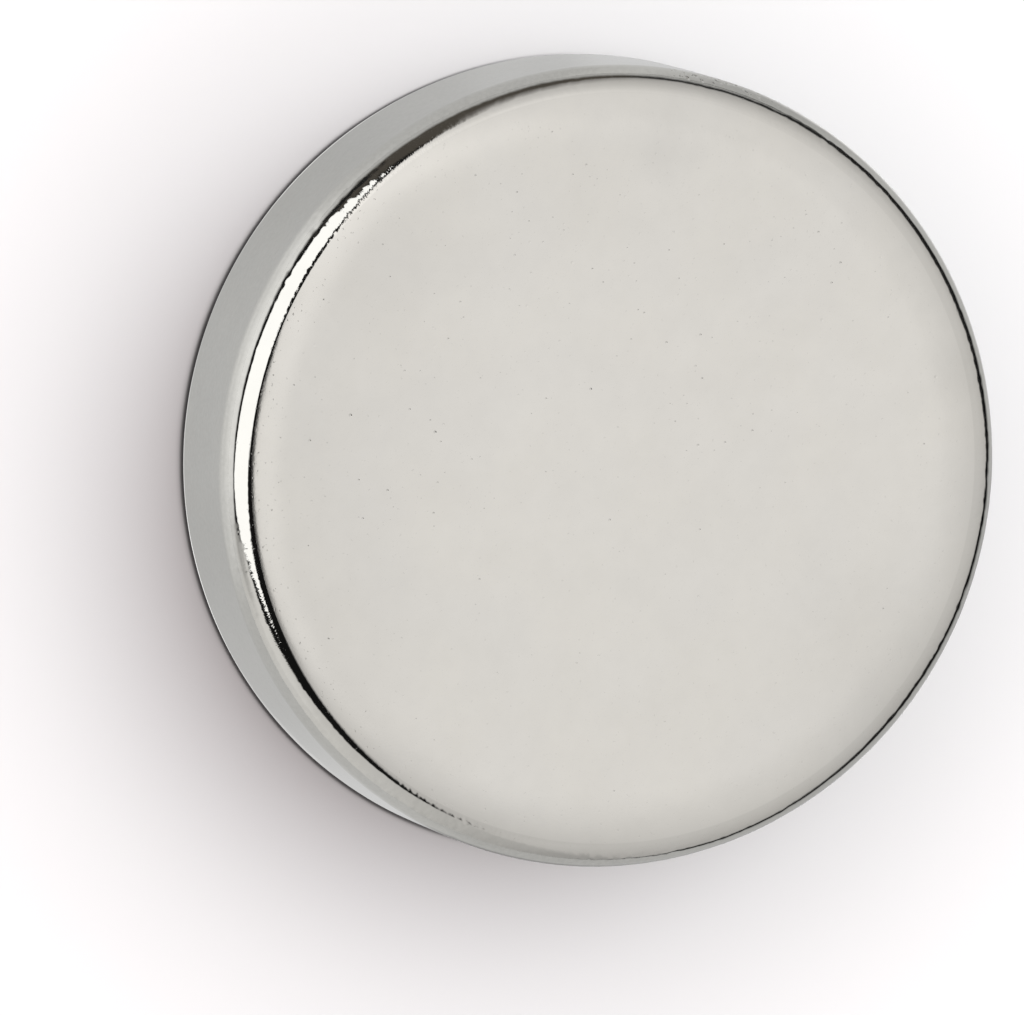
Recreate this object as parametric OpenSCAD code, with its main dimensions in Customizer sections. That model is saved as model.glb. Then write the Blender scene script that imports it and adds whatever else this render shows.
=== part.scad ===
// Disc magnet: a flat round magnet pressed and sintered as one piece, ground on
// both faces, tumbled so that its rims are rounded, and plated with nickel.
// It is magnetised through its thickness, so each flat face is a pole.
// Units are millimetres. The disc lies on its lower face: the origin is the
// centre of that face and +Z is the disc's axis.

/* [Disc] */
// Outside diameter, over the plating
disc_d = 13; // [6:0.5:30]
// Thickness from face to face, over the plating
disc_t = 3; // [2:0.25:8]

/* [Rounded rims] */
// Radius of the rounded rim between each face and the side wall
rim_r = 0.45; // [0.2:0.05:0.8]
// Radius of the faint roll-off that tumbling leaves on each face beside its rim
rolloff_r = 16; // [6:1:20]
// Slope in degrees that the roll-off reaches where it runs into the rim
rolloff_deg = 3; // [1:0.5:4]

/* [Hidden] */
// Fineness of curves drawn on screen
$fn = 180;

// Outside radius
disc_r = disc_d / 2;
// The rim's arc and the roll-off's arc are tangent, so their centres lie apart
// by the difference of their radii. Height and width of that step: the height
// is a round number, and the width completes the right triangle.
step_h = round((rolloff_r - rim_r) * cos(rolloff_deg) * 10000) / 10000;
step_w = sqrt((rolloff_r - rim_r) * (rolloff_r - rim_r) - step_h * step_h);
// Distance of the rim arc's centre from the axis, and over mid-thickness
rim_x = disc_r - rim_r;
rim_z = disc_t / 2 - rolloff_r + step_h;
// Distance from the rim arc's centre out to the point where the two arcs meet
meet_w = rim_r * step_w / (rolloff_r - rim_r);

// Upper half of the section: X is the radius, Y the height over mid-thickness
module upper_section() {
    // under the flat face
    square([rim_x - step_w, disc_t / 2]);
    // behind the straight side wall
    square([disc_r, rim_z]);
    // rounded rim, and the roll-off beside it
    translate([rim_x, rim_z]) {
        circle(r = rim_r);
        intersection() {
            translate([-step_w, -step_h]) circle(r = rolloff_r);
            translate([-rim_x / 2, -rim_z]) square([rim_x / 2 + meet_w, disc_t]);
        }
    }
}

module disc_magnet() {
    color([0.83, 0.82, 0.79])
        translate([0, 0, disc_t / 2]) rotate_extrude() {
            upper_section();
            mirror([0, 1]) upper_section();
        }
}

disc_magnet();
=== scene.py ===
import bpy, math
import numpy as np
from mathutils import Vector, Matrix
from mathutils.geometry import delaunay_2d_cdt


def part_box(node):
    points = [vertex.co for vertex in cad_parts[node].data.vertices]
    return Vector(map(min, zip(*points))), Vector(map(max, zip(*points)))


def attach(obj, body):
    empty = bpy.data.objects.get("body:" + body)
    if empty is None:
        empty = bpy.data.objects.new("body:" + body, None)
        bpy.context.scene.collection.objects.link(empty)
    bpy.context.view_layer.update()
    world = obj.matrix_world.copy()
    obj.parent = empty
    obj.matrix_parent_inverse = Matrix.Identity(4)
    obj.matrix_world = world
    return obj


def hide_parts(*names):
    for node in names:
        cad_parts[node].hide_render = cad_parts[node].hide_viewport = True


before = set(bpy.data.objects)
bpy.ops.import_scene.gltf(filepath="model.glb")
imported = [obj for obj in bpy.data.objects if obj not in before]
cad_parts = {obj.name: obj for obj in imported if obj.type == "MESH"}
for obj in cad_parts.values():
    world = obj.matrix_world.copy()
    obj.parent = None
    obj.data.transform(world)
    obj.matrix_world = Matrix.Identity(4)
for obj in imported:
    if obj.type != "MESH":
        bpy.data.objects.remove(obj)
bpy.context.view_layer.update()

# ---------------------------------------------------------------- sizes, in metres
lo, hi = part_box("disc_magnet")
DISC_R = (hi.x - lo.x) / 2
DISC_T = hi.z - lo.z
RIM_R = 0.00045
ROLL_R = 0.016
STEP_H = round((ROLL_R - RIM_R) * 1e3 * math.cos(math.radians(3.0)) * 1e4) / 1e4 * 1e-3
STEP_W = math.sqrt((ROLL_R - RIM_R) ** 2 - STEP_H ** 2)
BETA = math.atan2(STEP_W, STEP_H)
RIM_X = DISC_R - RIM_R
RIM_Z = DISC_T / 2 - ROLL_R + STEP_H
FLAT_R = RIM_X - STEP_W

# ---------------------------------------------------------------- mesh, worked out in millimetres
MM = 1e-3
RND = np.random.RandomState(41)
R_END = RIM_X / MM + RIM_R / MM * math.sin(BETA)      # where the roll-off meets the edge rounding
F_MM, ROLL_MM, RIM_MM, T_MM = FLAT_R / MM, ROLL_R / MM, RIM_R / MM, DISC_T / MM

def waves(n, lo_w, hi_w, slope):
    """random plane waves: (kx, ky, phase, height) with an overall rms slope in degrees"""
    w = np.exp(RND.uniform(math.log(lo_w), math.log(hi_w), n)); d = RND.uniform(0, 2 * math.pi, n)
    k = 2 * math.pi / w
    amp = math.radians(slope) * math.sqrt(2.0 / n) / k
    return k * np.cos(d), k * np.sin(d), RND.uniform(0, 2 * math.pi, n), amp

def wave_sum(wv, x, y):
    """height and both slopes of the waves at points"""
    h = np.zeros_like(x); gx = np.zeros_like(x); gy = np.zeros_like(x)
    for kx, ky, ph, a in zip(*wv):
        p = kx * x + ky * y + ph
        s = -a * np.sin(p)
        h += a * np.cos(p); gx += kx * s; gy += ky * s
    return h, gx, gy

# pits in the plating: x, y, radius, depth
def thin_out(p):
    """drops whatever would overlap an earlier pit"""
    out = []
    for q in p:
        if all((q[0] - o[0]) ** 2 + (q[1] - o[1]) ** 2 > (1.45 * (q[2] + o[2])) ** 2 for o in out): out.append(q)
    return out

def make_pits(named, clusters, n_loose, lean, r_max):
    p = [(x, y, a, d * 0.45) for x, y, a, d in named]
    c = []
    for cx, cy, spread, n in clusters:
        for i in range(n):
            x, y = RND.normal(cx, spread), RND.normal(cy, spread)
            c.append((x, y, 0))
    i = 0
    while i < n_loose:
        r = r_max * math.sqrt(RND.uniform()); t = RND.uniform(0, 2 * math.pi)
        x, y = r * math.cos(t), r * math.sin(t)
        side = (x * lean[0] + y * lean[1]) / r_max
        if RND.uniform() < 0.12 + 0.88 / (1 + math.exp(-6 * side)): c.append((x, y, 1)); i += 1
    for x, y, k in c:
        if math.hypot(x, y) > r_max: continue
        a = 0.013 + 0.011 * RND.uniform() ** 2 + (0.012 if RND.uniform() < 0.05 else 0)
        p.append((x, y, a, a * (0.016 + 0.065 * RND.uniform() ** 2)))
    return thin_out(p)

def pit_sum(pits, x, y):
    """depth and slopes of every pit at points; each pit is a smooth dish with a flat rim"""
    h = np.zeros_like(x); gx = np.zeros_like(x); gy = np.zeros_like(x)
    for cx, cy, a, d in pits:
        m = np.where((np.abs(x - cx) < a) & (np.abs(y - cy) < a))[0]
        if not len(m): continue
        ux, uy = x[m] - cx, y[m] - cy; r = np.hypot(ux, uy)
        m, ux, uy, r = m[r < a], ux[r < a], uy[r < a], r[r < a]
        h[m] -= d * (0.5 + 0.5 * np.cos(math.pi * r / a))
        g = d * 0.5 * math.pi / a * np.sin(math.pi * r / a) / np.maximum(r, 1e-9)
        gx[m] += g * ux; gy[m] += g * uy
    return h, gx, gy

def face_points(pits, rings, grid, r_grid):
    pts = []; edges = []
    for r, n in rings:
        s = len(pts)
        for k in range(n):
            t = 2 * math.pi * k / n
            pts.append((r * math.cos(t), r * math.sin(t)))
        for k in range(n): edges.append((s + k, s + (k + 1) % n))
    clear = []
    for cx, cy, a, d in pits:
        pts.append((cx, cy))
        for f, n in ((0.5, 7), (1.0, 9), (1.4, 9)) if a < 0.03 else ((0.3, 6), (0.55, 9), (0.8, 10), (1.0, 12), (1.3, 12)):
            o = RND.uniform(0, 2 * math.pi)
            for k in range(n):
                t = o + 2 * math.pi * k / n
                pts.append((cx + f * a * math.cos(t), cy + f * a * math.sin(t)))
        clear.append((cx, cy, 1.7 * a))
    clear = np.array(clear)
    n = int(r_grid / grid) + 1
    for i in range(-n, n + 1):
        for j in range(-n, n + 1):
            x = (i + 0.5 * (j % 2) + RND.uniform(-0.15, 0.15)) * grid; y = (j * 0.866 + RND.uniform(-0.15, 0.15)) * grid
            if math.hypot(x, y) > r_grid: continue
            if len(clear) and (np.hypot(clear[:, 0] - x, clear[:, 1] - y) < clear[:, 2]).any(): continue
            pts.append((x, y))
    return pts, edges

def face_mesh(pits, rings, grid, r_grid):
    pts, edges = face_points(pits, rings, grid, r_grid)
    out = delaunay_2d_cdt([Vector(p) for p in pts], edges, [], 0, 1e-6, True)
    ov, oe, of, orig = out[0], out[1], out[2], out[3]
    xy = np.array([(v.x, v.y) for v in ov]); tri = np.array([tuple(f) for f in of if len(f) == 3])
    ids = np.full(len(ov), -1)
    for i, o in enumerate(orig):
        if len(o): ids[i] = min(o)
    return xy, tri, ids

def roll_height(r):
    """height and slope of the roll-off, which starts softly"""
    a = 0.14; t = np.clip((r - F_MM) / (R_END - F_MM), 0, 1)
    f = (t - a * (1 - np.exp(-t / a))) / (1 - a)
    h = (t * t / 2 - a * t + a * a * (1 - np.exp(-t / a))) / (0.5 - a + a * a)
    return -(ROLL_MM * (1 - math.cos(BETA))) * h, -math.tan(BETA) * f

N_RIM, N_WALL = 1920, 960
FACE_W = waves(26, 0.9, 2.6, 0.13)
def rim_waves(n, lo_w, hi_w, slope, circ):
    w = np.exp(RND.uniform(math.log(lo_w), math.log(hi_w), n)); d = RND.uniform(0, 2 * math.pi, n)
    k = 2 * math.pi / w
    m = np.round(k * np.cos(d) * circ / (2 * math.pi))
    amp = math.radians(slope) * math.sqrt(2.0 / n) / k
    return m, k * np.sin(d), RND.uniform(0, 2 * math.pi, n), amp

def rim_sum(wv, ang, s):
    h = np.zeros_like(s); ga = np.zeros_like(s); gs = np.zeros_like(s)
    for m, ks, ph, a in zip(*wv):
        p = m * ang + ks * s + ph
        q = -a * np.sin(p)
        h += a * np.cos(p); ga += m * q; gs += ks * q
    return h, ga, gs

PEEL = rim_waves(120, 0.07, 0.16, 0.58, 2 * math.pi * 6.3)
SWELL = rim_waves(30, 0.5, 2.0, 0.16, 2 * math.pi * 6.5)
RIPPLE = rim_waves(80, 0.14, 0.45, 0.95, 2 * math.pi * 6.4)
ENV = [(int(m), RND.uniform(0, 2 * math.pi)) for m in (3, 5, 8, 13, 21, 34, 55)]
FILLET_S = RIM_MM * (math.pi / 2 - BETA)
WALL_S = 2 * RIM_Z / MM

def nick_list():
    out = []
    for az, sp, n in ((145, 6, 14), (-92, 5, 34), (195, 25, 8)):
        for i in range(n):
            t = math.radians(90 - RND.normal(az, sp))
            s = FILLET_S * (RND.uniform(0.25, 0.7) if az > 0 else RND.uniform(0.55, 1.15))
            a = RND.uniform(0.026, 0.042); out.append((t, s, a, a * (RND.uniform(0.015, 0.05) if az > 0 else RND.uniform(0.25, 0.6))))
    return out
NICKS = nick_list()

def rim_disp(ang, s):
    """displacement (mm) along the outside normal and its slopes along the ring and down the profile; s is the
    distance down the profile from the top of the edge rounding"""
    env = np.zeros_like(ang)
    for m, ph in ENV: env += np.cos(m * ang + ph)
    env = np.clip(0.85 + 0.22 * env, 0.35, 1.7)
    calm = np.cos(ang - math.radians(90 + 124)) * 0.5 + 0.5          # one stretch is smoother than the rest
    env *= 1 - 0.45 * np.clip((calm - 0.90) / 0.06, 0, 1)
    calm = np.cos(ang - math.radians(90 - 148)) * 0.5 + 0.5          # and so is a shorter one
    env *= 1 - 0.45 * np.clip((calm - 0.90) / 0.06, 0, 1)
    fade = np.clip(1.25 - s / FILLET_S, 0.0, 1.0)
    h, ga, gs = rim_sum(PEEL, ang, s)
    rise = np.clip(s / (0.08 * FILLET_S), 0.0, 1.0)
    k = env * fade * rise
    h, ga, gs = h * k, ga * k, gs * k
    h2, ga2, gs2 = rim_sum(SWELL, ang, s)
    k2 = np.clip(s / FILLET_S, 0, 1) * np.clip((2 * FILLET_S + WALL_S - s) / FILLET_S, 0, 1)
    h, ga, gs = h + h2 * k2, ga + ga2 * k2, gs + gs2 * k2
    h3, ga3, gs3 = rim_sum(RIPPLE, ang, s)
    k3 = env * np.clip((s - 0.04 * FILLET_S) / (0.25 * FILLET_S), 0, 1) * np.clip(1.6 - s / FILLET_S, 0.25, 1) * np.clip((2 * FILLET_S + WALL_S - s) / FILLET_S, 0, 1)
    h, ga, gs = h + h3 * k3, ga + ga3 * k3, gs + gs3 * k3
    for t, sc, a, d in NICKS:
        da = (ang - t + math.pi) % (2 * math.pi) - math.pi
        m = np.where((np.abs(da) * 6.3 < a) & (np.abs(s - sc) < a))
        if not len(m[0]): continue
        ua, us = da[m] * 6.3, s[m] - sc; r = np.hypot(ua, us)
        w = r < a
        hh = np.where(w, -d * (0.5 + 0.5 * np.cos(math.pi * r / a)), 0)
        g = np.where(w, d * 0.5 * math.pi / a * np.sin(math.pi * r / a) / np.maximum(r, 1e-9), 0)
        h[m] += hh; ga[m] += g * ua * 6.3; gs[m] += g * us
    return h, ga, gs

verts = []; norms = []; tris = []; uvs = []          # uvs run along tris, three pairs each

def add_face(sign, pits, rings, grid, r_grid, centre, scale, fine):
    """one flat face with its roll-off; sign +1 for the top. Returns the indices of the outer ring."""
    xy, tri, ids = face_mesh(pits, rings, grid, r_grid)
    x, y = xy[:, 0], xy[:, 1]; r = np.hypot(x, y)
    z, zr = roll_height(r)
    h1, g1x, g1y = wave_sum(FACE_W, x, y)
    fade = np.clip((R_END - r) / 0.5, 0, 1)
    h2, g2x, g2y = pit_sum(pits, x, y)
    hz = z + h1 * fade + h2
    gx = zr * x / np.maximum(r, 1e-9) + g1x * fade + g2x
    gy = zr * y / np.maximum(r, 1e-9) + g1y * fade + g2y
    if fine:                                          # the edge's own peel carries over the last rings
        t = np.arctan2(y, x) % (2 * math.pi)
        s = -(R_END - r)
        near = r > R_END - 0.075
        w = np.clip((r[near] - (R_END - 0.075)) / 0.075, 0, 1)
        h, ga, gs = rim_disp(t[near], s[near])
        hz[near] += h * w
        cx, cy = x[near] / r[near], y[near] / r[near]
        gx[near] += w * (gs * cx - ga / r[near] * cy); gy[near] += w * (gs * cy + ga / r[near] * cx)
    base = len(verts)
    n = np.stack([-gx, -gy, np.ones_like(x)], -1); n /= np.linalg.norm(n, axis=1, keepdims=True)
    for i in range(len(x)):
        verts.append((x[i], y[i], T_MM / 2 + sign * (T_MM / 2 + hz[i])))
        norms.append((n[i, 0], n[i, 1], sign * n[i, 2]))
    c = xy[tri]; area = np.cross(c[:, 1] - c[:, 0], c[:, 2] - c[:, 0])
    for f, a in zip(tri, area):
        if abs(a) < 1e-12: continue
        f = list(f) if (a > 0) == (sign > 0) else [f[0], f[2], f[1]]
        tris.append(tuple(int(base + q) for q in f))
        for q in f: uvs.append((centre[0] + xy[q, 0] * scale, centre[1] + xy[q, 1] * scale * sign))
    n_out = rings[0][1]
    ring = [None] * n_out
    for i, o in enumerate(ids):
        if 0 <= o < n_out: ring[o] = base + i
    return ring

def add_strip(ring_a, ring_b, s_a, s_b):
    """quads or a 2:1 change between two rings, ring_a above ring_b"""
    na, nb = len(ring_a), len(ring_b)
    def put(corners):
        tris.append(tuple(c[0] for c in corners))
        band = int(sum(c[1] for c in corners) / 3 * 4) % 4      # the side is laid out as four bands
        for _, f, s in corners:
            u = f * 4 - band
            if u < -0.5: u += 4
            if u > 1.5: u -= 4
            uvs.append((0.005 + 0.99 * u, 0.685 + 0.078 * band + 0.074 * (1 - s / (2 * FILLET_S + WALL_S))))
    if na == nb:
        for k in range(na):
            j = (k + 1) % na; f0, f1 = k / na, (k + 1) / na
            put([(ring_a[k], f0, s_a), (ring_b[k], f0, s_b), (ring_b[j], f1, s_b)])
            put([(ring_a[k], f0, s_a), (ring_b[j], f1, s_b), (ring_a[j], f1, s_a)])
    else:
        for k in range(nb):
            j = (k + 1) % nb; a0, a1, a2 = 2 * k, 2 * k + 1, (2 * k + 2) % na
            f0, fm, f1 = k / nb, (k + 0.5) / nb, (k + 1) / nb
            put([(ring_a[a0], f0, s_a), (ring_b[k], f0, s_b), (ring_a[a1], fm, s_a)])
            put([(ring_a[a1], fm, s_a), (ring_b[k], f0, s_b), (ring_b[j], f1, s_b)])
            put([(ring_a[a1], fm, s_a), (ring_b[j], f1, s_b), (ring_a[a2], f1, s_a)])

def add_ring(n, s):
    """one ring of the side at distance s down the profile from the top of the rounding"""
    ang = 2 * math.pi * np.arange(n) / n
    total = 2 * FILLET_S + WALL_S
    if s < FILLET_S:
        al = BETA + s / RIM_MM; r = RIM_X / MM + RIM_MM * math.sin(al); z = RIM_Z / MM + RIM_MM * math.cos(al)
    elif s <= FILLET_S + WALL_S:
        al = math.pi / 2; r = DISC_R / MM; z = RIM_Z / MM - (s - FILLET_S)
    else:
        al = math.pi / 2 + (s - FILLET_S - WALL_S) / RIM_MM; r = RIM_X / MM + RIM_MM * math.sin(al); z = -RIM_Z / MM + RIM_MM * math.cos(al)
    h, ga, gs = rim_disp(ang, np.full(n, s))
    ca, sa = np.cos(ang), np.sin(ang)
    nr, nz = math.sin(al), math.cos(al)
    tr, tz = math.cos(al), -math.sin(al)              # down the profile
    R, Z = r + h * nr, z + h * nz
    N = np.stack([nr * ca - gs * tr * ca + ga / r * sa, nr * sa - gs * tr * sa - ga / r * ca, nz - gs * tz], -1)
    N /= np.linalg.norm(N, axis=1, keepdims=True)
    base = len(verts)
    for k in range(n):
        verts.append((R[k] * ca[k], R[k] * sa[k], Z[k] + T_MM / 2)); norms.append(tuple(N[k]))
    return list(range(base, base + n))

TOP_PITS = make_pits(
    [(0.6, -4.5, 0.036, 0.0042), (-2.7, -2.8, 0.026, 0.003), (-1.7, -3.4, 0.026, 0.003), (-0.7, -1.5, 0.024, 0.003),
     (0.8, 0.2, 0.03, 0.003), (4.1, -3.6, 0.026, 0.004), (1.2, -5.0, 0.03, 0.003), (4.9, 1.8, 0.024, 0.003),
     (-2.5, 0.6, 0.028, 0.004), (-2.2, 0.1, 0.026, 0.004), (-2.0, 0.7, 0.026, 0.003), (-4.0, 2.4, 0.028, 0.004),
     (-4.7, 1.9, 0.026, 0.004), (-1.0, 1.6, 0.026, 0.0035)],
    [(-4.7, 1.6, 0.45, 26), (-2.3, 0.5, 0.6, 26), (-3.2, -2.3, 0.6, 26), (1.0, -2.9, 0.6, 26), (1.4, 5.3, 0.3, 10), (-1.2, 1.0, 0.7, 22), (2.4, -3.6, 0.6, 16)],
    400, (-0.75, -0.45), 5.7)
ROLLS = [F_MM + (R_END - F_MM) * k / 6 for k in range(6)]
top = add_face(1, TOP_PITS, [(R_END, N_RIM), (R_END - 0.03, N_RIM), (R_END - 0.075, N_RIM)] + [(r, 960) for r in reversed(ROLLS)], 0.3, F_MM - 0.12, (0.335, 0.34), 0.0545, True)
BOT_PITS = make_pits([], [(1.5, -2.0, 0.8, 20)], 90, (0.3, -0.4), 5.6)
bot = add_face(-1, BOT_PITS, [(R_END, N_WALL)] + [(r, 480) for r in reversed(ROLLS[::2])], 0.45, F_MM - 0.15, (0.835, 0.17), 0.0262, False)
rings = [(0.0, top)]
s_list = [FILLET_S * (k / 20) ** 1.2 for k in range(1, 20)]
for s in s_list: rings.append((s, add_ring(N_RIM, s)))
rings.append((FILLET_S, add_ring(N_WALL, FILLET_S)))
for k in range(1, 9): rings.append((FILLET_S + WALL_S * k / 8, add_ring(N_WALL, FILLET_S + WALL_S * k / 8)))
for k in range(1, 10): rings.append((FILLET_S + WALL_S + FILLET_S * k / 10, add_ring(N_WALL, FILLET_S + WALL_S + FILLET_S * k / 10)))
rings.append((2 * FILLET_S + WALL_S, bot))
for (sa_, ra_), (sb_, rb_) in zip(rings, rings[1:]): add_strip(ra_, rb_, sa_, sb_)

# ---------------------------------------------------------------- shader arithmetic
class S:
    """a socket with arithmetic"""
    nt = None
    def __init__(s, sock): s.s = sock
    def _m(s, op, *o):
        n = S.nt.nodes.new("ShaderNodeMath"); n.operation = op
        for i, v in enumerate((s,) + o):
            if isinstance(v, S): S.nt.links.new(v.s, n.inputs[i])
            else: n.inputs[i].default_value = float(v)
        return S(n.outputs[0])
    def __add__(s, o): return s._m("ADD", o)
    def __sub__(s, o): return s._m("SUBTRACT", o)
    def __mul__(s, o): return s._m("MULTIPLY", o)
    def __truediv__(s, o): return s._m("DIVIDE", o)
    def min(s, o): return s._m("MINIMUM", o)
    def max(s, o): return s._m("MAXIMUM", o)
    def inv(s): return (s * -1.0) + 1.0
    def step(s, a, b):
        """smooth 0 to 1 as s goes from a to b"""
        n = S.nt.nodes.new("ShaderNodeMapRange"); n.interpolation_type = "SMOOTHSTEP"; n.clamp = True
        S.nt.links.new(s.s, n.inputs["Value"])
        v = (a, b, 0, 1) if a < b else (b, a, 1, 0)
        for i, x in zip(("From Min", "From Max", "To Min", "To Max"), v): n.inputs[i].default_value = x
        return S(n.outputs["Result"])
    def lerp(s, a, b, ya, yb):
        n = S.nt.nodes.new("ShaderNodeMapRange"); n.interpolation_type = "LINEAR"; n.clamp = True
        S.nt.links.new(s.s, n.inputs["Value"])
        for i, x in zip(("From Min", "From Max", "To Min", "To Max"), (a, b, ya, yb)): n.inputs[i].default_value = x
        return S(n.outputs["Result"])
    def curve(s, pts):
        """piecewise-smooth curve through (x, y) points"""
        x0, x1 = pts[0][0], pts[-1][0]
        ys = [p[1] for p in pts]; y0, y1 = min(ys), max(ys)
        n = S.nt.nodes.new("ShaderNodeFloatCurve")
        c = n.mapping.curves[0]
        n.mapping.use_clip = False
        q = [((x - x0) / (x1 - x0), (y - y0) / (y1 - y0)) for x, y in pts]
        c.points[0].location = q[0]; c.points[1].location = q[-1]
        for p in q[1:-1]: c.points.new(*p)
        for p in c.points: p.handle_type = "AUTO_CLAMPED"
        n.mapping.update()
        S.nt.links.new(s.lerp(x0, x1, 0, 1).s, n.inputs["Value"])
        return S(n.outputs[0]) * (y1 - y0) + y0

def grey(v, tint=(1, 1, 1)):
    n = S.nt.nodes.new("ShaderNodeCombineColor")
    for i in range(3):
        if isinstance(v, S): S.nt.links.new((v * tint[i]).s, n.inputs[i])
        else: n.inputs[i].default_value = v * tint[i]
    return n.outputs[0]

def mix(fac, a, b):
    n = S.nt.nodes.new("ShaderNodeMix"); n.data_type = "RGBA"; n.clamp_factor = True
    S.nt.links.new(fac.s, n.inputs["Factor"])
    S.nt.links.new(a, n.inputs[6]); S.nt.links.new(b, n.inputs[7])
    return n.outputs[2]

me = bpy.data.meshes.new("magnet")
me.from_pydata([(x * MM, y * MM, z * MM) for x, y, z in verts], [], tris)
layer = me.uv_layers.new(name="OFBake")
layer.data.foreach_set("uv", np.array(uvs, dtype=np.float32).ravel())
me.shade_smooth()
me.normals_split_custom_set_from_vertices(norms)
me.update()
ob = bpy.data.objects.new("plated_disc", me)
bpy.context.scene.collection.objects.link(ob)

# ---------------------------------------------------------------- nickel plating
BASE = 0.71
mat = bpy.data.materials.new("nickel")
mat.use_nodes = True
S.nt = mat.node_tree
b = S.nt.nodes["Principled BSDF"]
b.inputs["Metallic"].default_value = 1
tc = S.nt.nodes.new("ShaderNodeTexCoord")
mm = S.nt.nodes.new("ShaderNodeVectorMath"); mm.operation = "SCALE"; mm.inputs["Scale"].default_value = 1000.0
S.nt.links.new(tc.outputs["Object"], mm.inputs[0])
sp = S.nt.nodes.new("ShaderNodeSeparateXYZ"); S.nt.links.new(mm.outputs[0], sp.inputs[0])
X, Y, Z = (S(sp.outputs[i]) for i in range(3))

def noise(scale, detail=2.0, rough=0.5, stretch=None, turn=0.0):
    n = S.nt.nodes.new("ShaderNodeTexNoise"); n.inputs["Scale"].default_value = scale
    n.inputs["Detail"].default_value = detail; n.inputs["Roughness"].default_value = rough
    if stretch:
        m = S.nt.nodes.new("ShaderNodeMapping"); m.inputs["Scale"].default_value = stretch
        m.inputs["Rotation"].default_value = (0, 0, turn)
        S.nt.links.new(mm.outputs[0], m.inputs["Vector"]); S.nt.links.new(m.outputs[0], n.inputs["Vector"])
    else: S.nt.links.new(mm.outputs[0], n.inputs["Vector"])
    return S(n.outputs[0])

# a slow mottle and a finer one in the plating, and a few soft darker patches
mottle_and_shade = noise(0.75, 2.0).lerp(0.3, 0.7, -1, 1) * 0.011 + noise(3.2, 2.0).lerp(0.3, 0.7, -1, 1) * 0.010
for cx, cy, w, d in ((-2.4, -4.7, 1.9, 0.035), (3.4, -3.5, 1.2, 0.014), (1.5, 5.4, 2.4, 0.065), (-5.3, -1.0, 1.0, 0.045), (-3.4, 4.9, 0.7, 0.040), (-4.9, -2.6, 2.0, 0.020), (2.0, 1.5, 2.0, -0.006)):
    dd = ((X - cx) * (X - cx) + (Y - cy) * (Y - cy))._m("SQRT")
    mottle_and_shade = mottle_and_shade - dd.step(w, 0.1) * d
specks = noise(16.0, 2.0, 0.6).step(0.66, 0.74)
rr = (X * X + Y * Y)._m("SQRT")
# painted shade: the faces are made darker toward two sides
mottle_and_shade = mottle_and_shade - ((Y * 0.95 - X * 0.33).step(-1.8, -5.4) * 0.055 + (Y * 0.33 + X * 0.95).step(-1.5, -5.5) * 0.03) * rr.step(6.0, 5.4)
turn = X._m("ARCTAN2", Y) * (180 / math.pi)
# the rounding and the wall are mottled more finely, with a scatter of dark specks in one stretch
fine = noise(13.0, 1.0)
mid = noise(9.0, 2.0)
dark_speck_mask = fine.step(0.66, 0.71) * (turn + 92.0)._m("ABSOLUTE").step(13, 5) * rr.step(6.38, 6.42) * Z.step(2.0, 2.45)
mottle_and_shade = mottle_and_shade + (fine - 0.5) * rr.step(6.25, 6.36) * 0.13
tone = (mottle_and_shade + 1.0) * (specks * -0.03 + 1.0) * (dark_speck_mask * -0.55 + 1.0)
warm = noise(0.6, 1.0).lerp(0.35, 0.65, 0, 1)
col = mix(warm, grey(tone, (0.716, 0.706, 0.668)), grey(tone, (0.714, 0.706, 0.673)))
S.nt.links.new(col, b.inputs["Base Color"])
smooth = rr.step(5.7, 5.95) * rr.step(6.16, 6.10) * Z.step(1.5, 2.0)          # the edge of the face is polished best
rough = (noise(1.1, 2.0).lerp(0.3, 0.7, 0.030, 0.050) + mid.lerp(0.35, 0.7, 0.0, 0.015)) * (smooth * -0.25 + 1.0) + specks * 0.10
S.nt.links.new(rough.s, b.inputs["Roughness"])
bump = S.nt.nodes.new("ShaderNodeBump"); bump.inputs["Strength"].default_value = 1.0; bump.inputs["Distance"].default_value = 1.0
# a grainy stretch of the upper edge rounding, in two places
grain = turn.curve([(-180, 0.15), (-160, 0.25), (-150, 0.45), (-142, 0.4), (-136, 0.25), (-129, 0.05), (-90, 0.0), (120, 0.0), (130, 0.15), (140, 0.6), (150, 0.3), (165, 0.1), (180, 0.12)])
grain = grain * (rr - turn.step(90, 125) * 0.06).step(6.08, 6.11) * rr.step(6.34, 6.22) * Z.step(1.5, 2.0)
height = ((noise(24.0, 2.0, 0.6) - 0.5) * 1.5e-7 + (noise(7.0, 1.0) - 0.5) * 1.5e-7) * (smooth * -0.65 + 1.0) - specks * 2.0e-7 + (noise(38.0, 0.0) - 0.5) * grain * 1.1e-6
S.nt.links.new(height.s, bump.inputs["Height"])
S.nt.links.new(bump.outputs[0], b.inputs["Normal"])
me.materials.append(mat)
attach(ob, "root")
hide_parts("disc_magnet")

# ---------------------------------------------------------------- floor
fl = bpy.data.meshes.new("floor")
fl.from_pydata([(-2, -2, -2e-6), (2, -2, -2e-6), (2, 2, -2e-6), (-2, 2, -2e-6)], [], [(0, 1, 2, 3)])
floor = bpy.data.objects.new("floor", fl)
bpy.context.scene.collection.objects.link(floor)
fm = bpy.data.materials.new("floor"); fm.use_nodes = True
S.nt = fm.node_tree
fb = fm.node_tree.nodes["Principled BSDF"]
fb.inputs["Base Color"].default_value = (0.80, 0.80, 0.80, 1)
fb.inputs["Roughness"].default_value = 1.0
fb.inputs["Specular IOR Level"].default_value = 0.0
geo = S.nt.nodes.new("ShaderNodeTexCoord")
sp = S.nt.nodes.new("ShaderNodeSeparateXYZ"); S.nt.links.new(geo.outputs["Object"], sp.inputs[0])
px, py = S(sp.outputs[0]) * 1000.0, S(sp.outputs[1]) * 1000.0        # millimetres
rad = (px * px + py * py)._m("SQRT")
gap = rad - DISC_R * 1000
faz = px._m("ARCTAN2", py) * (180 / math.pi)
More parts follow.
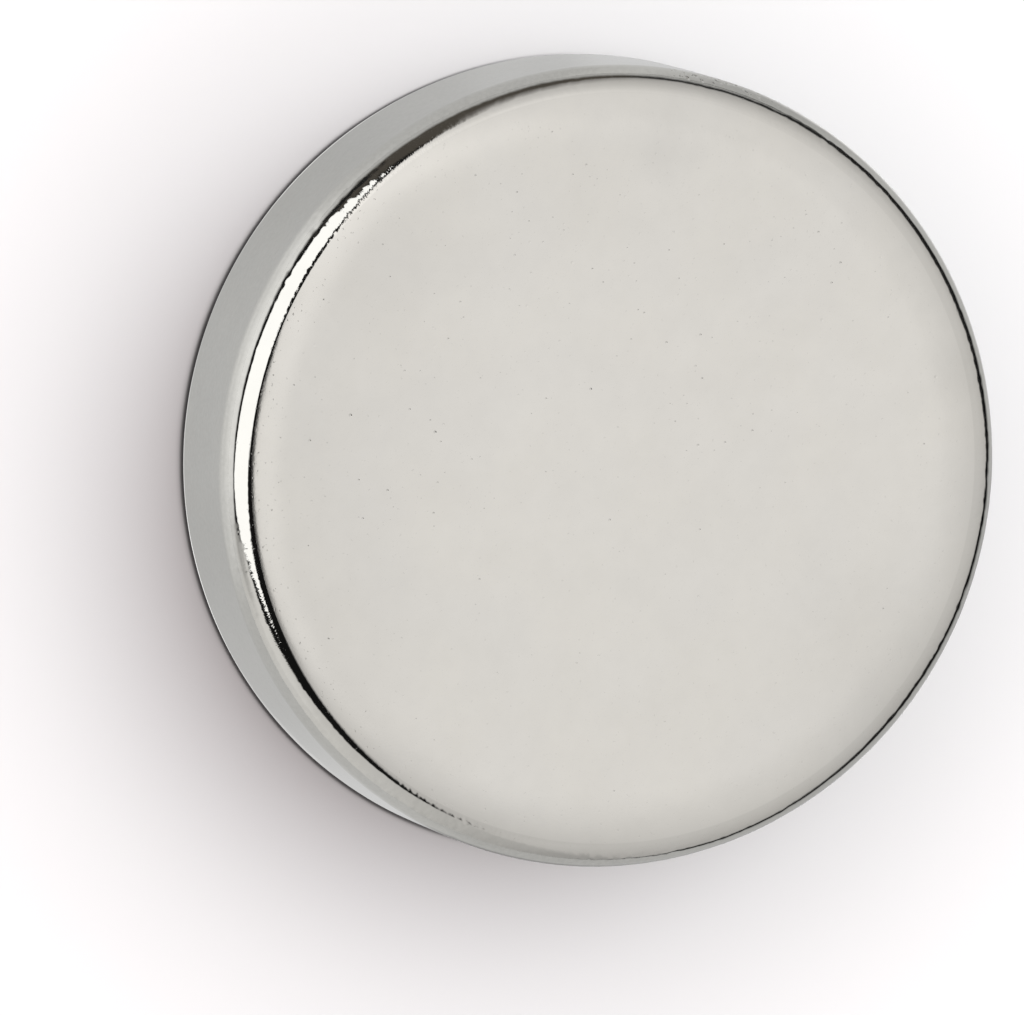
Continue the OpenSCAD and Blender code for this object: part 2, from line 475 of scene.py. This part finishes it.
# painted shadow: a thin dark contact line painted into the floor's colour where the rounded lower edge overhangs it,
# strongest on the shadow side
thin = faz.curve([(-180, 1.0), (-170, 0.90), (-158, 0.80), (-148, 0.75), (-139, 0.55), (-128, 0.45), (-110, 0.40), (80, 0.8), (120, 0.8), (140, 0.9), (180, 1.0)])
painted_contact_shadow = ((rad - py / rad * 0.128 - DISC_R * 1000) / thin).curve([(0.01, 1.0), (0.04, 0.93), (0.055, 0.78), (0.07, 0.54), (0.085, 0.30), (0.105, 0.15), (0.135, 0.04), (0.165, 0.0)]) * rad.step(5.3, 5.6)
lobe = faz.curve([(-180, 0.90), (-158, 0.89), (-139, 0.80), (-131, 0.68), (-120, 0.45), (-110, 0.15), (-104, 0.0), (76, 0.0), (86, 0.60), (100, 0.84), (125, 0.86), (180, 0.92)])
S.nt.links.new(grey((painted_contact_shadow * lobe * -1.0 + 1.0) * 0.80), fb.inputs["Base Color"])
# painted reflection: to glossy rays the floor glows with set shades instead of being lit, so what the polished sides
# see of the floor is painted; it differs close by, further out and all round, and ends in the dark
inner = faz.curve([(-180, 0.63), (-168, 0.61), (-156, 0.585), (-130, 0.55), (-120, 0.59), (-112, 0.58), (-103, 0.64), (-90, 0.61), (-72, 0.87), (-64, 0.94), (-46, 0.80), (-22, 0.60), (-3, 0.37), (8, 0.55), (20, 0.70), (32, 0.53), (60, 0.43), (80, 0.30), (89, 0.42), (98, 0.64), (112, 0.59), (125, 0.555), (142, 0.56), (160, 0.62), (180, 0.63)])
outer = faz.curve([(-180, 0.81), (-160, 0.75), (-142, 0.57), (-110, 0.56), (-97, 0.62), (-78, 0.48), (-52, 0.57), (-20, 0.55), (0, 0.49), (20, 0.53), (30, 0.50), (52, 0.53), (76, 0.53), (92, 0.60), (128, 0.57), (143, 0.70), (160, 0.74), (180, 0.81)])
left = faz._m("ABSOLUTE").step(125, 160)
inner = inner * (left * (gap.curve([(0, 0.86), (0.7, 0.90), (1.4, 1.0)]) - 1.0) + 1.0)
outer = outer + left * gap.curve([(5, 0), (11, 0.09), (30, 0.14)])
t = gap.curve([(1.2, 0), (1.7, 0.15), (2.4, 0.62), (3.2, 1)])
v = inner + (outer - inner) * t
reach = faz.curve([(-110, 9), (-95, 8), (-75, 6), (-52, 4.4), (-25, 3.2), (-8, 2.9), (2, 3.0), (14, 4.0), (25, 4.2), (38, 3.6), (52, 6), (65, 9)])
far = (gap / (reach * math.log(2))._m("EXPONENT")).curve([(0, 1), (0.7, 1), (0.85, 0.96), (1.0, 0.87), (1.25, 0.66), (1.5, 0.46), (2, 0.23), (2.5, 0.11), (3.5, 0.03), (6, 0.0)])
v = v * far
# painted highlight: close to contact the floor glows brighter to glossy rays, which paints a bright edge on the lower
# rim right above the contact line
painted_rim_highlight = faz.curve([(-180, 0.0), (-169, 0.1), (-159, 0.35), (-149, 0.6), (-139, 0.3), (-120, 0.0), (100, 0.0), (111, 0.2), (121, 0.3), (131, 0.55), (141, 1.0), (151, 0.6), (161, 0.35), (175, 0.1), (180, 0.0)]) * gap.step(0.10, 0.06)
v = v + (v * -1.0 + 1.3) * painted_rim_highlight
# the painted reflection is a glow that only first glossy rays see; later glossy rays see black and all other rays see
# the lit floor
painted_reflection_glow = S.nt.nodes.new("ShaderNodeEmission"); S.nt.links.new(grey(v, (1.0, 1.0, 1.0)), painted_reflection_glow.inputs["Color"])
lp = S.nt.nodes.new("ShaderNodeLightPath")
first = S(lp.outputs["Is Glossy Ray"]) * S(lp.outputs["Diffuse Depth"]).step(1, 0)
S.nt.links.new(first.s, painted_reflection_glow.inputs["Strength"])
mx = S.nt.nodes.new("ShaderNodeMixShader")
S.nt.links.new(lp.outputs["Is Glossy Ray"], mx.inputs[0]); S.nt.links.new(fb.outputs[0], mx.inputs[1]); S.nt.links.new(painted_reflection_glow.outputs[0], mx.inputs[2])
S.nt.links.new(mx.outputs[0], S.nt.nodes["Material Output"].inputs["Surface"])
fl.materials.append(fm)

# ---------------------------------------------------------------- world
KEY_AZ = math.radians(304.4)
world = bpy.data.worlds.new("studio"); bpy.context.scene.world = world
world.use_nodes = True
nt = world.node_tree; nt.nodes.clear(); S.nt = nt
tc = nt.nodes.new("ShaderNodeTexCoord")
sep = nt.nodes.new("ShaderNodeSeparateXYZ")
nt.links.new(tc.outputs["Generated"], sep.inputs[0])
dx, dy, dz = (S(sep.outputs[i]) for i in range(3))
# fisheye coordinates in degrees: U is away from the camera (+Y), V is +X
pol = dz._m("ARCCOSINE") * (180 / math.pi)
hyp = (dx * dx + dy * dy)._m("SQRT").max(1e-5)
U = dy / hyp * pol
V = dx / hyp * pol
az = dx._m("ARCTAN2", dy) * (180 / math.pi)      # -180..180, 0 is +U, 90 is +V

def poly(pts, w):
    """soft-edged convex polygon in fisheye degrees"""
    cx = sum(p[0] for p in pts) / len(pts); cy = sum(p[1] for p in pts) / len(pts)
    m = None
    for i in range(len(pts)):
        (x0, y0), (x1, y1) = pts[i], pts[(i + 1) % len(pts)]
        nx, ny = -(y1 - y0), (x1 - x0)
        L = math.hypot(nx, ny); nx /= L; ny /= L
        if (cx - x0) * nx + (cy - y0) * ny < 0: nx, ny = -nx, -ny
        d = U * nx + V * ny - (nx * x0 + ny * y0)
        wi = w[i] if isinstance(w, (list, tuple)) else w
        s = d.step(-wi / 2, wi / 2)
        m = s if m is None else m * s
    return m

WARM = (1.02, 0.998, 0.985)
k = 1 / BASE
# dark room: black, brownish on one side, lighter toward the card
dark = az.curve([(-180, 0.012), (-64, 0.012), (15, 0.012), (28, 0.05), (40, 0.09), (55, 0.12), (75, 0.30)]) * pol.step(50, 70) * az.step(90, 84)
c = grey(dark.max(0.006) * k)
c = mix(V.step(-22, -30) * U.step(6, -8), c, grey(0.052 * k, (1.12, 1.0, 0.86)))
c = mix(poly([(-66, -28), (-50, -26), (-42, -38), (-54, -46)], 8), c, grey(0.012 * k))
# low sweep that runs into the floor
start = az.curve([(-180, 66.5), (-168, 69.5), (-155, 73.5), (-140, 75), (-126, 74.8), (-104, 79), (-93, 80.5), (-72, 84.5), (-62, 90.5), (-40, 97.5), (-10, 98.5), (30, 98.3), (45, 92), (60, 72), (140, 69), (155, 66.5), (180, 66.5)])
wide = az.curve([(-180, 4), (-150, 7), (-90, 7), (90, 4), (180, 4)])
sw = ((pol - start) / wide).step(-1, 1)
swl = az.curve([(-180, 1.0), (-160, 0.88), (-141, 0.54), (-80, 0.48), (45, 0.30), (60, 0.44), (75, 0.57), (120, 0.65), (141, 0.72), (157, 0.92), (180, 1.0)])
c = mix(sw, c, grey(swl))
# grey card low on the V side
edge = U.curve([(-62, 44), (-50, 39), (-40, 35), (-30, 33.5), (-18, 37), (-8, 35), (12, 34), (60, 33)])
card = (V - edge).step(-3.5, 1.5)
cl = U.curve([(-70, 0.50), (-30, 0.57), (-8, 0.50), (4, 0.46), (16, 0.40), (28, 0.35), (45, 0.30), (80, 0.36)]) * V.lerp(50, 85, 1.0, 0.98)
cl = cl * (pol.step(62, 70) * U.step(-8, -22) * -0.09 + 1.0) * (((U + 49.0) * (U + 49.0) + (V - 41.0) * (V - 41.0))._m("SQRT").step(18, 5) * -0.35 + 1.0)
c = mix(card * pol.step(92, 84) * U.step(-66, -56) * U.step(66, 56), c, grey(cl * k, (1.012, 1.0, 0.985)))
# big warm panel on the U side
b0 = V.curve([(-80, -4), (-66, -6), (-54, -12), (-42, -15.3), (-30, -11.8), (-24, -10.8), (-18, -8.6), (-14, -7.2), (-10, -3), (-6, 2), (-3, 7.5), (-1, 10), (0, 10.75), (1, 10.9), (2.5, 11.35), (4, 12.15), (5, 12.7), (6.5, 12.6), (8, 11.5), (14, 11.3), (20, 11.8), (24, 13.6), (30, 15.3), (36, 15.5), (40, 19), (44, 25), (50, 31), (56, 37), (75, 62)])
soft = V.curve([(-80, 18), (-54, 16), (-42, 9), (-30, 4), (-20, 2), (-10, 1.4), (-2, 0.5), (-0.5, 0.2), (3, 0.2), (4.2, 0.8), (6, 1.8), (8, 2.2), (20, 2.4), (36, 4), (44, 6), (56, 7), (75, 10)])
s1 = ((U - b0) / soft)
low = az.curve([(-100, 64), (-88, 70), (-75, 72.3), (-50, 75.6), (-30, 76.5), (-20, 79.8), (-8, 85.2), (0, 85), (8, 81.7), (14, 79), (22, 80.7), (30, 85), (40, 88), (50, 84.5), (60, 79.5), (70, 82), (90, 90)])
pan = s1.step(-1, 1) * (pol - low).step(3.5, -4.5)
d0 = ((U - 3.5) * (U - 3.5) + (V + 8.5) * (V + 8.5))._m("SQRT")
lum = d0.curve([(0, 0.70), (5, 0.69), (8, 0.655), (11, 0.62), (15, 0.58), (20, 0.545), (27, 0.52), (38, 0.505), (50, 0.48), (62, 0.455), (80, 0.40)])
d1 = ((U - 17.6) * (U - 17.6) + V * V)._m("SQRT")
lum = lum * V.lerp(-14, 8, 1.0, 0.93) * V.lerp(-70, -30, 0.72, 1.0) + d1.curve([(0, 0.125), (1.4, 0.122), (2.2, 0.115), (3.7, 0.09), (5.1, 0.07), (6.6, 0.04), (8, 0.01), (9.5, 0)])
lum = lum * (V.step(2.5, 7.5) * U.step(24, 13) * -0.14 + 1.0)
lum = lum * ((U - b0).step(12, 2) * V.curve([(-34, 0), (-28, 0.03), (-22, 0.10), (-18, 0.14), (-12, 0.25), (-8, 0.26), (-6, 0.27), (-4, 0.24), (-2.5, 0.13), (-1.5, 0.04), (-0.5, 0)]) + 1.0)
lum = lum * ((U - b0).step(5, 2) * V.curve([(-5, 0.02), (-3.5, 0.06), (-2, 0.09), (3, 0.10), (5, 0.05), (9, 0)]) + 1.0)
c = mix(pan, c, grey(lum * k, WARM))
# softbox
sb = poly([(-46, -25), (-28, -24.5), (-22, -23.2), (-16.5, -21.8), (-11.5, -16), (-5.9, -9.5), (-3.4, -6), (-1.4, -1), (-1.0, 4), (-2.6, 8.5), (-7.4, 16), (-16, 24.5), (-24, 29), (-38, 33.5), (-50, 32.5), (-54.6, 28), (-54.8, 0), (-54, -13)], 2.6)
sb = sb.max(poly([(-10, -3), (2.4, -1), (3.4, 1), (2.4, 3.8), (-10, 10)], 2.0))
sb = sb.max(poly([(-28, 16), (-6.5, 16.5), (-5, 19.5), (-6, 22), (-10.5, 24.5), (-17, 26.8), (-28, 28.5)], 2.6))
c = mix(sb, c, grey(1.39, (1.0, 1.0, 1.0)))
glossy_env = c

lp = nt.nodes.new("ShaderNodeLightPath")
is_cam, is_gl = S(lp.outputs["Is Camera Ray"]), S(lp.outputs["Is Glossy Ray"])
deep = S(lp.outputs["Diffuse Depth"]).step(0, 1)
g = 1 / 0.80
hz = pol.step(20, 92)
def toward(d): return ((az - d) * (math.pi / 180))._m("COSINE") * 0.5 + 0.5
fa = grey((toward(180) * 0.765 + 1.095) * hz * g, (1.085, 0.962, 0.955))
fb_ = grey(toward(-60) * hz * (2.56 * g), (0.988, 1.035, 1.05))
ad = nt.nodes.new("ShaderNodeMix"); ad.data_type = "RGBA"; ad.blend_type = "ADD"; ad.inputs["Factor"].default_value = 1.0
nt.links.new(fa, ad.inputs[6]); nt.links.new(fb_, ad.inputs[7]); fill = ad.outputs[2]
gl = mix(deep, glossy_env, grey(0.0))
out = mix(is_gl, fill, gl)
out = mix(is_cam, out, grey(1.0))
bg = nt.nodes.new("ShaderNodeBackground"); nt.links.new(out, bg.inputs["Color"])
wo = nt.nodes.new("ShaderNodeOutputWorld"); nt.links.new(bg.outputs[0], wo.inputs["Surface"])

# key softbox overhead, leaning to the side that the shadow falls away from
ld = bpy.data.lights.new("key", "AREA"); ld.shape = "DISK"; ld.size = 0.94
ld.energy = 2.87; ld.color = (0.988, 1.035, 1.05)
key = bpy.data.objects.new("key", ld); bpy.context.scene.collection.objects.link(key)
KP = math.radians(25.6)
kd = Vector((math.sin(KP) * math.sin(KEY_AZ), math.sin(KP) * math.cos(KEY_AZ), math.cos(KP)))
key.location = kd
key.rotation_euler = kd.to_track_quat("Z", "Y").to_euler()
key.visible_glossy = False
key.visible_camera = False

# ---------------------------------------------------------------- camera
TH, PSI, DIST = math.radians(17.64), math.radians(19.5), 45.8 * DISC_R
PXR = 403.7
# unit vectors of the disc frame: U = +Y, V = +X, N = +Z; image x right, image y down
U3, V3, N3 = Vector((0, 1, 0)), Vector((1, 0, 0)), Vector((0, 0, 1))
right = U3 * (math.cos(TH) * math.cos(PSI)) - V3 * math.sin(PSI) + N3 * (math.sin(TH) * math.cos(PSI))
down = U3 * (math.cos(TH) * math.sin(PSI)) + V3 * math.cos(PSI) + N3 * (math.sin(TH) * math.sin(PSI))
back = -U3 * math.sin(TH) + N3 * math.cos(TH)
R0 = Matrix((right, -down, back)).transposed()
fpx = PXR * 45.8
a = Vector(((615.2 - 512) / fpx, -(469.2 - 507.5) / fpx, -1)).normalized()
Rd = a.rotation_difference(Vector((0, 0, -1))).to_matrix()
Rc = (R0 @ Rd).to_4x4()
cd = bpy.data.cameras.new("camera"); cd.sensor_width = 36; cd.lens = fpx / 1024 * 36
cd.clip_start, cd.clip_end = 0.01, 10
cam = bpy.data.objects.new("camera", cd); bpy.context.scene.collection.objects.link(cam)
cam.matrix_world = Matrix.Translation(Vector((0, 0, DISC_T)) + back * DIST) @ Rc
bpy.context.scene.camera = cam
sc = bpy.context.scene
sc.view_settings.view_transform = "Standard"
sc.view_settings.look = "None"
